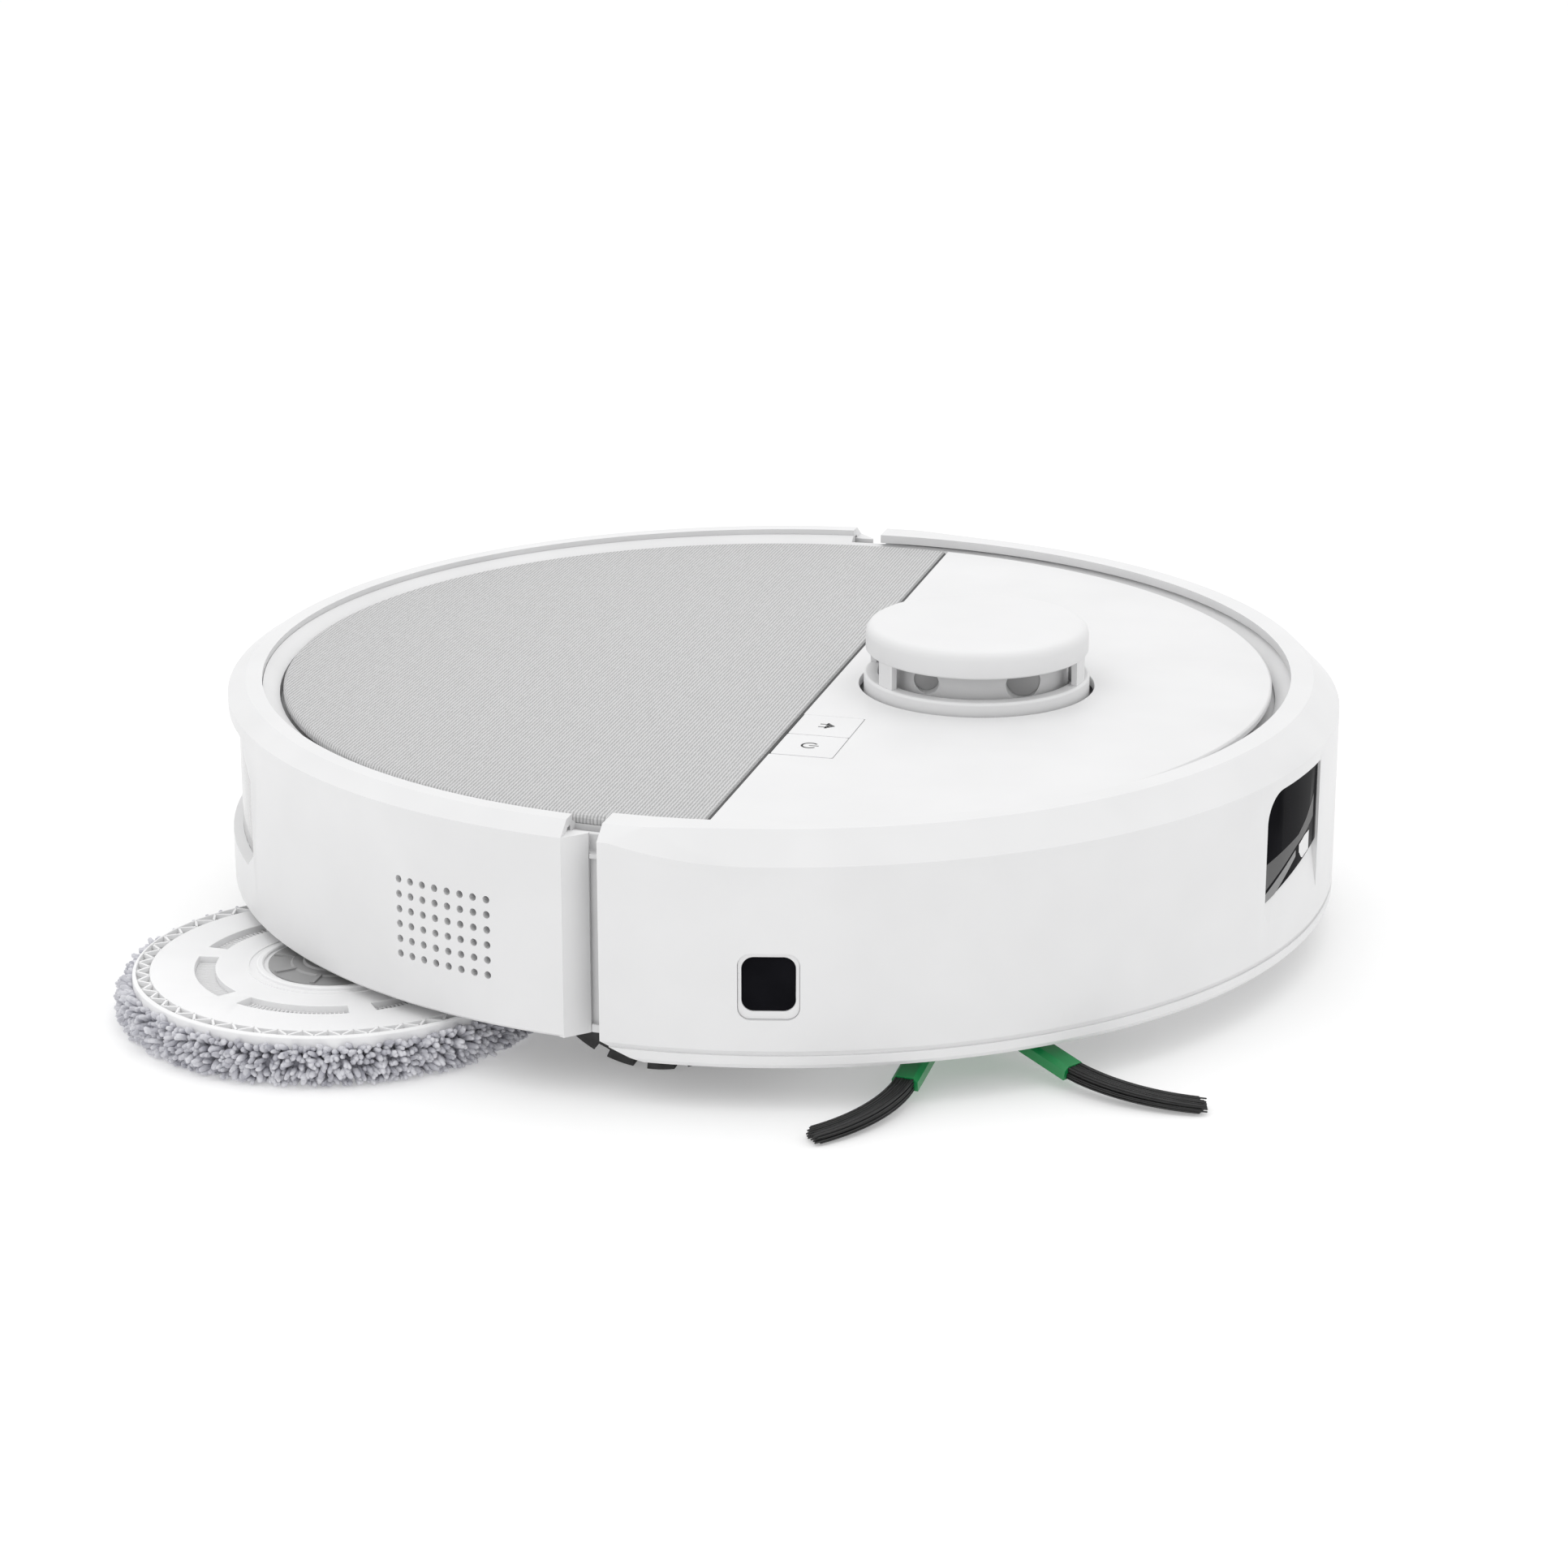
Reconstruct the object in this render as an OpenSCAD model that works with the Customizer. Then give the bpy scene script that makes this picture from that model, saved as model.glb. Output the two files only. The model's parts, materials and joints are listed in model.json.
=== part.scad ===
// Robot vacuum cleaner with two spinning mop pads and a laser turret. Millimetres.
// +X points forward, +Y to the left and +Z up. The origin is on the floor, on the axis of
// the round body. The right mop is drawn swung out past the side.

/* [Body] */
// Outer radius of the round body
body_r = 171; // [168:0.5:176]
// Height of the rear shell's lower edge above the floor
body_z = 17; // [16.5:0.5:18]
// Height of the top ring around the lid
ring_z = 79; // [78:0.5:81]
// Wall thickness of the rear shell and bumper
wall = 3; // [2.4:0.2:3.4]
// Width of the open gap between the rear shell and the bumper
side_gap = 10.5; // [9:0.5:12]

/* [Top] */
// Radius of the circle shared by the lid and the front panel
lid_r = 152.3; // [150:0.1:153]
// Height of the lid's top face above the floor
lid_z = 76.2; // [76:0.1:77]
// Distance from the body axis forward to the line between lid and front panel
split_x = 17.7; // [17:0.1:19]

/* [Turret] */
// Distance of the turret axis in front of the body axis
turret_x = 61; // [58:1:66]
// Radius of the turret cap
cap_r = 34; // [33:0.5:35]
// Height of the turret's top face above the floor
turret_z = 95.6; // [94:0.2:99]

/* [Running gear] */
// Radius of a drive wheel over its tread blocks
wheel_r = 35; // [33:0.5:35]
// Width of a drive wheel
wheel_w = 17; // [14:1:18]
// Distance of a drive wheel's outer face from the centre plane
wheel_y = 146; // [144:1:151]
// Radius of the main brush over its blades
brush_r = 15; // [14:0.2:15.4]
// Length of the main brush blades
brush_len = 156; // [140:2:160]

/* [Mops] */
// Radius of a mop pad over its pile
pad_r = 65; // [60:0.5:65.5]
// Radius of the plate that carries a mop pad
plate_r = 59; // [56:0.5:59.5]
// Height of the top face of a mop plate above the floor
plate_z = 13.9; // [13:0.1:14.4]

/* [Side brush] */
// Radius swept by the bristle tips of the side brush
sweep_r = 72; // [66:1:72]

/* [Hidden] */
$fn = 96;
inner_r = body_r - wall;
deck_top = 69.8;
deck_r = 160;
rear_x = -17.5;
bumper_x = rear_x + side_gap;
lid_cx = -2;
lid_t = 3.5;
hinge_x = 14.2;
hinge_z = lid_z - 2.8;
floor_t = 3;
floor_top = body_z + floor_t;
wheel_cy = wheel_y - wheel_w / 2;
arm_y = wheel_y - wheel_w - 9;
rim_r = 153.4;
post_a = [-10, 10, 60, 120, 240, 315];
brush_x = 26;
brush_z = 19.5;
shoulder = 8.2;
shoulder_a = 78;
side_brush = [85.5, -117];
side_dir = -64;
mop_left = [-78, 67];
mop_out = [-103, -123];
mop_pivot = [-49.4, -113.4];
mop_arm = norm(mop_out - mop_pivot);
mop_angle = atan2(mop_out[1] - mop_pivot[1], mop_out[0] - mop_pivot[0]);
mop_swing = 68;
caster = [120, 0];
button_y = [-64.3, -45.2];
button_x = [split_x + 0.7, split_x + 19.2];
lens_dir = -78.5;

module box(x0, x1, y0, y1, z0, z1) {
    translate([x0, y0, z0]) cube([x1 - x0, y1 - y0, z1 - z0]);
}

// Cylinder of radius r between two heights.
module rod(x, y, r, z0, z1) {
    translate([x, y, z0]) cylinder(r = r, h = z1 - z0);
}

// Disc of radius r between two heights, centred on the body axis.
module cylinder_z(r, z0, z1) {
    translate([0, 0, z0]) cylinder(r = r, h = z1 - z0, $fn = 180);
}

// Cylinder along Y between two y values.
module bar_y(x, z, r, y0, y1) {
    translate([x, y0, z]) rotate([-90, 0, 0]) cylinder(r = r, h = y1 - y0);
}

module turned(points) {
    rotate_extrude($fn = 180) polygon(points);
}

// Sector of a turned profile from angle a0 to angle a1.
module turned_arc(a0, a1, points) {
    rotate([0, 0, a0]) rotate_extrude(angle = a1 - a0, $fn = 180) polygon(points);
}

module mirrored_y() {
    children();
    mirror([0, 1, 0]) children();
}

// ---- body ----

// Floor pan with openings for the wheels, caster, brushes and mop spindles.
module chassis_base() {
    color([0.86, 0.86, 0.87]) difference() {
        union() {
            cylinder_z(deck_r, body_z, floor_top);
            intersection() {
                cylinder_z(inner_r, body_z, floor_top);
                box(-180, -26, -180, 180, 0, 60);
            }
            for (a = post_a) rotate([0, 0, a])
                rod(152, 0, 5, floor_top - 1, deck_top - 2.8);
            rod(mop_pivot[0], mop_pivot[1], 9, floor_top - 1, floor_top + 2);
            mirrored_y() box(-40.5, -31.5, arm_y - 7, arm_y - 1.5, floor_top - 1, 42);
            mirrored_y() bar_y(-36, wheel_r, 2.95, arm_y - 5, arm_y + 8);
            mirrored_y() box(caster[0] - 6, caster[0] + 6, 21, 24, floor_top - 1, 36);
            box(caster[0] - 6, caster[0] + 6, -24, 24, 32, 36);
        }
        mirrored_y() box(-40, 40, arm_y - 1, 175, 0, floor_top + 1);
        box(3, 49, -84, 84, 0, 30);
        rod(caster[0], caster[1], 20, 0, floor_top + 1);
        rod(caster[0], caster[1], 5.05, 30, 40);
        rod(side_brush[0], side_brush[1], 10.5, 0, 30);
        rod(mop_left[0], mop_left[1], 8, 0, 30);
        rod(mop_pivot[0], mop_pivot[1], 3.05, 0, 40);
        translate([mop_pivot[0], mop_pivot[1], 0])
            rotate([0, 0, mop_angle - mop_swing])
            rotate_extrude(angle = mop_swing)
            translate([mop_arm - 5.6, 0]) square([11.2, 40]);
        rod(mop_out[0], mop_out[1], 6.4, 0, 40);
        translate([mop_pivot[0], mop_pivot[1], 0]) rotate([0, 0, mop_angle - mop_swing])
            rod(mop_arm, 0, 6.4, 0, 40);
        for (a = [-38, 38]) rotate([0, 0, a]) box(140, 152, -7, 7, 0, 40);
        for (a = post_a) rotate([0, 0, a]) {
            rod(152, 0, 1.6, 0, 40);
            rod(152, 0, 3.4, body_z - 1, body_z + 1.4);
        }
    }
}

// Rear half of the outer wall with its sloped shoulder, flat top ring and sound holes.
module rear_shell() {
    color([0.95, 0.95, 0.95]) difference() {
        union() {
            intersection() {
                turned([[inner_r, body_z], [body_r - 0.8, body_z], [body_r, body_z + 0.8],
                    [body_r, ring_z - 3.6], [body_r - 5.5, ring_z], [160.5, ring_z],
                    [160.5, deck_top], [162.3, deck_top], [162.3, ring_z - 2.6],
                    [body_r - 6.4, ring_z - 2.6], [inner_r, ring_z - 5.4]]);
                box(-180, rear_x, -180, 180, 0, 100);
            }
            mirrored_y() side_return();
        }
        for (i = [0:7], j = [0:5]) rotate([0, 0, -114.2 + 1.486 * i])
            translate([160, 0, 31.8 + 4.45 * j]) rotate([0, 90, 0])
            cylinder(r = 1.1, h = 14, $fn = 24);
        rear_port();
        for (a = [168, 192]) rotate([0, 0, a]) box(160, 180, -9, 9, 24, 30);
    }
}

// Wide opening at the back with sloping corners.
module rear_port() {
    difference() {
        turned_arc(142.3, 217.7, [[160, 33.6], [inner_r, 33.6], [body_r + 2, 31.6],
            [body_r + 2, 72.4], [inner_r, 70.4], [160, 70.4]]);
        mirrored_y() rotate([0, 0, 142.3]) {
            translate([0, 0, 61]) rotate([45, 0, 0]) box(140, 190, -30, 30, 0, 40);
            translate([0, 0, 37.5]) rotate([-35, 0, 0]) box(140, 190, -30, 30, -40, 0);
        }
    }
}

// Slanting end of the rear shell that runs in towards the recessed wall.
module side_return() {
    y = sqrt(body_r * body_r - rear_x * rear_x) - 0.05;
    translate([0, 0, body_z]) linear_extrude(ring_z - 3.6 - body_z)
        polygon([[rear_x - 1.5, y - 0.6], [rear_x, y], [rear_x + 6, y - 6],
            [rear_x + 6, 163], [rear_x - 1.5, 163]]);
}

// Recessed wall segments seen through the two side gaps.
module side_frames() {
    color([0.92, 0.92, 0.92]) mirrored_y() difference() {
        intersection() {
            turned([[deck_r, body_z], [164.4, body_z], [164.4, 19.4], [162.8, 19.4],
                [162.8, 68], [164.4, 68], [164.4, 69.4], [161.8, 69.4], [161.8, 74.4],
                [deck_r, 74.4]]);
            box(-26, 8, 100, 180, 0, 100);
        }
        box(-30, rear_x, 100, 200, 69.4, 80);
        box(-30, rear_x + 6.1, 162.9, 200, 0, 80);
    }
}

// Inner deck below the lid and the front panel.
module top_deck() {
    color([0.9, 0.9, 0.91]) difference() {
        cylinder_z(deck_r, deck_top - 2.8, deck_top);
        box(-98, 0, -48, 62, 60, 80);
        rod(turret_x, 0, 29.9, 60, 80);
        mirrored_y() box(-31, 31, wheel_y - wheel_w - 1, wheel_y + 2.5, 60, 80);
    }
    color([0.9, 0.9, 0.91]) for (y = [-76.9, -63.1, 63.1, 76.9])
        difference() {
            union() {
                bar_y(hinge_x, hinge_z, 1.65, y - 1.6, y + 1.6);
                box(hinge_x - 1.6, hinge_x + 1.6, y - 1.6, y + 1.6, deck_top, hinge_z);
            }
            bar_y(hinge_x, hinge_z, 1, y - 3, y + 3);
        }
}

// Sloping rim on the deck that closes the channel around the lid and the front panel.
module deck_rim() {
    color([0.94, 0.94, 0.95]) difference() {
        union() {
            turned([[149, deck_top], [157.8, deck_top], [157.8, ring_z - 3.5],
                [149, deck_top + 0.1]]);
            intersection() {
                turned([[149, deck_top], [deck_r + 0.3, deck_top], [deck_r + 0.3, ring_z - 1.8],
                    [149, deck_top + 0.1]]);
                box(-180, rear_x, -180, 180, 0, 100);
            }
        }
        translate([lid_cx, 0, 0]) cylinder_z(rim_r, 60, 80);
    }
}

// Grey textured lid over the bin bay, hinged at its front edge.
module rear_lid() {
    color([0.78, 0.78, 0.79]) difference() {
        union() {
            intersection() {
                translate([lid_cx, 0, 0]) turned([[0, lid_z - lid_t], [lid_r - 1.6, lid_z - lid_t],
                    [lid_r, lid_z - lid_t + 1], [lid_r, lid_z - 1], [lid_r - 0.5, lid_z - 0.3],
                    [lid_r - 1.2, lid_z], [0, lid_z]]);
                box(-200, split_x - 0.4, -200, 200, 0, 100);
            }
            for (y = [-70, 70]) bar_y(hinge_x, hinge_z, 2.2, y - 5, y + 5);
        }
        for (y = [-70, 70]) {
            bar_y(hinge_x, hinge_z, 1.05, y - 20, y + 20);
            for (s = [-1, 1]) box(hinge_x - 5.4, split_x, y + s * 6.9 - 2, y + s * 6.9 + 2,
                60, hinge_z + 2);
        }
        translate([split_x - 1.4, 0, lid_z]) rotate([0, 45, 0])
            box(-2, 4, -200, 200, 0, 4);
        box(-92, -6, -44, 58, lid_z - lid_t - 1, lid_z - 2);
    }
}

// Two pins that carry the lid.
module lid_hinge_pins() {
    color([0.75, 0.76, 0.78]) for (y = [-70, 70])
        bar_y(hinge_x, hinge_z, 1, y - 8.5, y + 8.5);
}

// White panel in front of the split line, with the turret hole and the button pocket.
module front_panel() {
    color([0.96, 0.96, 0.96]) difference() {
        union() {
            intersection() {
                translate([lid_cx, 0, 0]) turned([[0, lid_z - 3], [lid_r - 1, lid_z - 3],
                    [lid_r, lid_z - 2], [lid_r, lid_z - 0.6], [lid_r - 0.6, lid_z],
                    [0, lid_z]]);
                box(split_x + 0.4, 200, -200, 200, 0, 100);
            }
            for (p = [[30, 100], [30, -110], [105, 70], [105, -70], [125, 0]])
                rod(p[0], p[1], 4, deck_top, lid_z - 2);
        }
        rod(turret_x, 0, cap_r + 2, 60, 100);
        box(0, button_x[1] + 0.2, button_y[0] - 20.5, button_y[1] + 0.2, 60, 100);
    }
}

module button_cap(y0, y1) {
    color([0.95, 0.95, 0.96]) {
        difference() {
            box(button_x[0], button_x[1], y0, y1, lid_z - 3, lid_z);
            for (x = [button_x[0], button_x[1]], y = [y0, y1])
                translate([x, y, lid_z - 4]) rotate([0, 0, 45])
                translate([-0.35, -0.35, 0]) cube([0.7, 0.7, 6]);
        }
        rod((button_x[0] + button_x[1]) / 2, (y0 + y1) / 2, 3, lid_z - 5.2, lid_z - 3);
    }
}

// Push cap that sends the cleaner home.
module home_button() {
    button_cap(button_y[0], button_y[1]);
}

// Push cap that switches the cleaner on.
module power_button() {
    button_cap(button_y[0] - 20.1, button_y[0] - 0.4);
}

// ---- bumper ----

// Block with two round corners that fills one sensor window, less a margin g all round.
module window_block(g) {
    rotate([0, 0, -13.75]) {
        box(150, 180, -11.1, 20.1 - g, 26.5 + g, 67 - g);
        box(150, 180, -20.1 + g, -11, 33.5, 58);
        box(150, 180, -13.1, -11, 26.5 + g, 34);
        translate([150, -11.1, 58]) rotate([0, 90, 0]) cylinder(r = 9 - g, h = 30);
        translate([150, -13.1, 33.5]) rotate([0, 90, 0]) cylinder(r = 7 - g, h = 30);
    }
}

// Space above the slanting lower edge of a sensor window.
module above_sill(g) {
    rotate([0, 0, -13.75]) translate([0, 0, 37.9 + g]) rotate([12.5, 0, 0])
        box(150, 180, -60, 60, 0, 60);
}

// Hole through the front of the bumper for one sensor window, with a scooped lower lip.
module window_pocket() {
    intersection() {
        window_block(0);
        union() {
            above_sill(0);
            turned([[inner_r + 0.8, 42.5], [body_r + 0.2, 26], [body_r + 4, 26],
                [body_r + 4, 70], [inner_r + 0.8, 70]]);
        }
    }
}

// Sliding front wall with a shoulder that grows wider towards the front.
module bumper_shell() {
    color([0.96, 0.96, 0.96]) difference() {
        intersection() {
            turned([[inner_r, 17.4], [body_r, 17.4], [body_r, ring_z - 3.6],
                [body_r - 5.5, ring_z], [156, ring_z], [156, ring_z - 2.8],
                [body_r - 9, ring_z - 2.8], [inner_r, ring_z - 10.6]]);
            box(bumper_x, 200, -180, 180, 0, 100);
        }
        turned_arc(-shoulder_a, shoulder_a, [[body_r + 1, ring_z - shoulder - 1],
            [body_r + 1, ring_z + 3], [body_r - shoulder - 3, ring_z + 3]]);
        mirrored_y() rotate([0, 0, shoulder_a]) translate([body_r, 0, ring_z - shoulder])
            rotate([0, -45, 0]) box(0, 20, 0, 60, -30, 30);
        window_pocket();
        mirror([0, 1, 0]) window_pocket();
        rotate([0, 0, -76.45]) translate([body_r - 8, 0, 36.2])
            rounded_x(17.2, 19.4, 3.6, 20);
    }
}

// Block with rounded corners in its YZ section, width w, height h, along +X.
module rounded_x(w, h, r, len) {
    for (a = [0, 1]) {
        translate([0, -w / 2 + a * r, -h / 2 + (1 - a) * r])
            cube([len, w - 2 * a * r, h - 2 * (1 - a) * r]);
    }
    for (y = [-1, 1], z = [-1, 1]) translate([0, y * (w / 2 - r), z * (h / 2 - r)])
        rotate([0, 90, 0]) cylinder(r = r, h = len, $fn = 48);
}

// Lower band of the bumper below its parting groove.
module bumper_skirt() {
    color([0.95, 0.95, 0.95]) difference() {
        intersection() {
            turned([[165, 12], [body_r - 1.2, 12], [body_r, 13.4], [body_r, 16],
                [body_r - 0.7, 16], [body_r - 0.7, 17.4], [165, 17.4]]);
            box(bumper_x, 200, -180, 180, 0, 100);
        }
        translate([bumper_x, 0, 17]) rotate([0, 22.5, 0]) box(-20, 20, -180, 180, -20, 0);
    }
}

// Two contact switches that feel the bumper move.
module bumper_switches() {
    color([0.25, 0.25, 0.27]) for (a = [-32, 32]) rotate([0, 0, a]) {
        box(146, 158, -6, 6, 30, 38);
        box(158, 161, -1.5, 1.5, 32, 36);
    }
    color([0.25, 0.25, 0.27]) for (a = [-32, 32]) rotate([0, 0, a])
        box(147, 155, -4, 4, floor_top, 30);
}

module front_window() {
    color([0.03, 0.03, 0.035]) {
        turned_arc(-21.4, -6.1, [[inner_r - 2.2, 30], [inner_r - 0.05, 30],
            [inner_r - 0.05, 68], [inner_r - 2.2, 68]]);
        intersection() {
            window_block(0.15);
            above_sill(0.2);
            turned([[inner_r - 1, 30], [body_r - 0.8, 30], [body_r - 0.8, 68], [inner_r - 1, 68]]);
        }
    }
}

// Dark window of the right front sensor.
module front_window_right() {
    front_window();
}

// Dark window of the left front sensor.
module front_window_left() {
    mirror([0, 1, 0]) front_window();
}

// Sloped frame around the wall sensor.
module side_sensor_bezel() {
    color([0.95, 0.95, 0.95]) rotate([0, 0, -76.45]) translate([body_r - 5, 0, 36.2])
        difference() {
            rounded_x(17.1, 19.3, 3.55, 4.1);
            translate([-1, 0, 0.6]) rounded_x(14.9, 15.7, 3.4, 10);
        }
}

// Glossy window of the wall sensor.
module side_sensor_window() {
    color([0.02, 0.02, 0.025]) rotate([0, 0, -76.45]) translate([body_r - 5, 0, 36.8])
        rounded_x(14.7, 15.5, 3.3, 3.9);
}

// Tinted window of the rear docking port.
module rear_port_window() {
    color([0.62, 0.63, 0.65]) turned_arc(141, 219, [[inner_r - 1.8, 31.5],
        [inner_r - 0.05, 31.5], [inner_r - 0.05, 72.6], [inner_r - 1.8, 72.6]]);
}

// Two sprung metal charging strips in the rear wall.
module charging_contacts() {
    color([0.8, 0.78, 0.7]) for (a = [168, 192]) rotate([0, 0, a])
        box(166, 170.4, -9, 9, 24, 30);
}

// ---- turret ----

// Fixed ring and floor of the turret.
module turret_base() {
    color([0.93, 0.93, 0.94]) translate([turret_x, 0, 0]) rotate_extrude()
        polygon([[3, deck_top - 2.8], [29.8, deck_top - 2.8],
            [29.8, deck_top], [cap_r + 0.5, deck_top], [cap_r + 0.5, lid_z + 3.2],
            [cap_r - 0.1, lid_z + 3.8], [30.2, lid_z + 3.8], [30.2, lid_z - 2],
            [3, lid_z - 2]]);
}

// Turret cap with its supporting posts.
module turret_cap() {
    color([0.96, 0.96, 0.96]) translate([turret_x, 0, 0]) {
        rotate_extrude() polygon([[0, turret_z - 2], [28.5, turret_z - 2], [31.4, turret_z - 5],
            [31.4, turret_z - 8.4], [cap_r - 0.5, turret_z - 8.4], [cap_r, turret_z - 7.9],
            [cap_r, turret_z - 3], [cap_r - 0.35, turret_z - 1.7], [cap_r - 1.1, turret_z - 0.7],
            [cap_r - 2.1, turret_z - 0.15], [cap_r - 3.2, turret_z], [0, turret_z]]);
        for (a = [-133, -8, 55, 115, 172]) rotate([0, 0, a - 6])
            rotate_extrude(angle = 12)
            translate([31.8, lid_z + 3.8]) square([1.9, turret_z - 8 - lid_z - 3.8]);
    }
}

// Fixed spindle the scanner drum turns on.
module lidar_spindle() {
    color([0.7, 0.71, 0.73]) translate([turret_x, 0, 0]) {
        translate([0, 0, deck_top - 2.8]) cylinder(r = 3, h = lid_z - 2 - deck_top + 2.8);
        translate([0, 0, lid_z - 2]) cylinder(r = 4, h = 12);
    }
}

// Turning drum of the laser scanner with an emitter and a receiver opening.
module lidar_drum() {
    color([0.66, 0.66, 0.68]) translate([turret_x, 0, 0]) difference() {
        union() {
            translate([0, 0, lid_z]) cylinder(r = 28, h = 12.4);
            translate([0, 0, lid_z - 1.6]) cylinder(r = 9, h = 2);
        }
        translate([0, 0, lid_z - 3]) cylinder(r = 4.05, h = 13.2);
        rotate([0, 0, lens_dir]) {
            translate([16, -14.8, lid_z + 7.2]) rotate([0, 90, 0]) cylinder(r = 3.8, h = 20);
            translate([14, 14.2, lid_z + 7.2]) rotate([0, 90, 0]) cylinder(r = 5.1, h = 20);
        }
    }
}

// Glass lenses of the scanner.
module lidar_lenses() {
    color([0.3, 0.31, 0.34]) translate([turret_x, 0, 0]) rotate([0, 0, lens_dir]) {
        translate([16, -14.8, lid_z + 7.2]) rotate([0, 90, 0]) cylinder(r = 3.8, h = 4);
        translate([14, 14.2, lid_z + 7.2]) rotate([0, 90, 0]) cylinder(r = 5.1, h = 6);
    }
}

// ---- drive wheels ----

module drive_arm() {
    color([0.24, 0.25, 0.27]) {
        difference() {
            union() {
                box(-36, 8, arm_y, arm_y + 8, 27, 43);
                bar_y(0, wheel_r, 14, arm_y, arm_y + 8);
                bar_y(-36, wheel_r, 8, arm_y, arm_y + 8);
            }
            bar_y(-36, wheel_r, 3, 0, 170);
        }
        bar_y(0, wheel_r, 4, arm_y + 7, wheel_y - 3);
    }
}

module wheel_hub() {
    color([0.33, 0.34, 0.36]) difference() {
        bar_y(0, wheel_r, wheel_r - 7, wheel_cy - wheel_w / 2, wheel_cy + wheel_w / 2);
        bar_y(0, wheel_r, 4.05, wheel_cy - wheel_w / 2 - 1, wheel_cy + wheel_w / 2 - 2.6);
        for (a = [0:60:300]) translate([0, 0, wheel_r]) rotate([0, a, 0])
            bar_y(16, 0, 6, wheel_cy + 1, wheel_cy + wheel_w);
        difference() {
            bar_y(0, wheel_r, wheel_r - 9, wheel_cy + wheel_w / 2 - 1.2, wheel_cy + wheel_w);
            bar_y(0, wheel_r, 8, wheel_cy, wheel_cy + wheel_w);
        }
    }
}

// Ring of rubber with two offset rows of tread blocks.
module tyre() {
    color([0.16, 0.16, 0.17]) translate([0, wheel_cy, wheel_r]) difference() {
        rotate([-90, 0, 0]) translate([0, 0, -wheel_w / 2]) difference() {
            cylinder(r = wheel_r, h = wheel_w);
            translate([0, 0, -1]) cylinder(r = wheel_r - 7, h = wheel_w + 2);
        }
        for (i = [0:17], s = [0, 1]) rotate([0, i * 20 + s * 10 + 5, 0])
            translate([wheel_r - 2.4, s == 0 ? -wheel_w / 2 - 1 : 0.8, -2])
            cube([5, wheel_w / 2 + 0.2, 4]);
    }
}

// Swinging carrier and axle of the right drive wheel.
module drive_arm_right() {
    mirror([0, 1, 0]) drive_arm();
}

// Rim of the right drive wheel.
module wheel_hub_right() {
    mirror([0, 1, 0]) wheel_hub();
}

// Tyre of the right drive wheel.
module tyre_right() {
    mirror([0, 1, 0]) tyre();
}

// Swinging carrier and axle of the left drive wheel.
module drive_arm_left() {
    drive_arm();
}

// Rim of the left drive wheel.
module wheel_hub_left() {
    wheel_hub();
}

// Tyre of the left drive wheel.
module tyre_left() {
    tyre();
}

// ---- caster ----

// Swivelling fork of the front caster.
module caster_fork() {
    color([0.85, 0.85, 0.86]) difference() {
        union() {
            rod(caster[0], caster[1], 19.4, body_z, floor_top);
            rod(caster[0], caster[1], 16.4, floor_top - 1, 29);
            rod(caster[0], caster[1], 5, 28, 38);
            for (s = [-1, 1]) {
                box(caster[0] - 10, caster[0] + 4, s * 10.5 - 1.8, s * 10.5 + 1.8, 12, body_z + 1);
                bar_y(caster[0] - 5, 12.5, 5, s * 10.5 - 1.8, s * 10.5 + 1.8);
            }
        }
        bar_y(caster[0] - 5, 12.5, 2, -20, 20);
        bar_y(caster[0] - 5, 12.5, 13.4, -8.6, 8.6);
    }
}

// Pin through the caster wheel.
module caster_axle() {
    color([0.75, 0.76, 0.78]) bar_y(caster[0] - 5, 12.5, 2, -12, 12);
}

// Small front wheel.
module caster_wheel() {
    color([0.2, 0.2, 0.21]) translate([caster[0] - 5, 0, 12.5]) rotate([-90, 0, 0])
        rotate_extrude() polygon([[2.05, -7.5], [11.3, -7.5], [12.5, -6.3], [12.5, 6.3],
            [11.3, 7.5], [2.05, 7.5]]);
}

// ---- brushes ----

// Tunnel over the main brush with its end bearings.
module brush_housing() {
    color([0.3, 0.31, 0.33]) difference() {
        union() {
            box(3, 49, -88, 88, floor_top, 40);
            box(3, 49, -83.9, -81, body_z, floor_top);
            box(3, 49, 81, 83.9, body_z, floor_top);
        }
        bar_y(brush_x, brush_z, 18, -81, 81);
        box(brush_x - 18, brush_x + 18, -81, 81, 0, brush_z);
        bar_y(brush_x, brush_z, 3.55, -84, 84);
    }
}

// Clip-on frame round the brush opening.
module brush_guard() {
    color([0.2, 0.21, 0.22]) difference() {
        box(4.2, 53, -90, 90, 13.4, body_z);
        box(10, 44, -84.2, 84.2, 10, 20);
    }
}

// Core of the main brush with its end pins.
module brush_core() {
    color([0.35, 0.36, 0.38]) {
        bar_y(brush_x, brush_z, 9, -brush_len / 2 - 1, brush_len / 2 + 1);
        bar_y(brush_x, brush_z, 3.5, -83.8, 83.8);
    }
}

// Rubber blades standing on the core of the main brush.
module brush_blades() {
    color([0.12, 0.42, 0.22]) difference() {
        intersection() {
            bar_y(brush_x, brush_z, brush_r, -brush_len / 2, brush_len / 2);
            union() for (a = [0:60:300]) translate([brush_x, 0, brush_z]) rotate([0, a, 0])
                box(-1, 1, -100, 100, 8, 20);
        }
        bar_y(brush_x, brush_z, 9, -100, 100);
    }
}

// Rubber wiper behind the brush opening.
module suction_lip() {
    color([0.14, 0.14, 0.15]) {
        box(-1.5, 1.5, -74, 74, 0.3, 13);
        box(-4, 4, -78, 78, 13, body_z);
    }
}

// Gear motor over the side brush.
module side_brush_motor() {
    color([0.22, 0.23, 0.25]) {
        rod(side_brush[0], side_brush[1], 14, floor_top, 44);
        rod(side_brush[0], side_brush[1], 10.4, body_z - 1, floor_top);
        rod(side_brush[0], side_brush[1], 4, 9, body_z - 1);
    }
}

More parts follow.
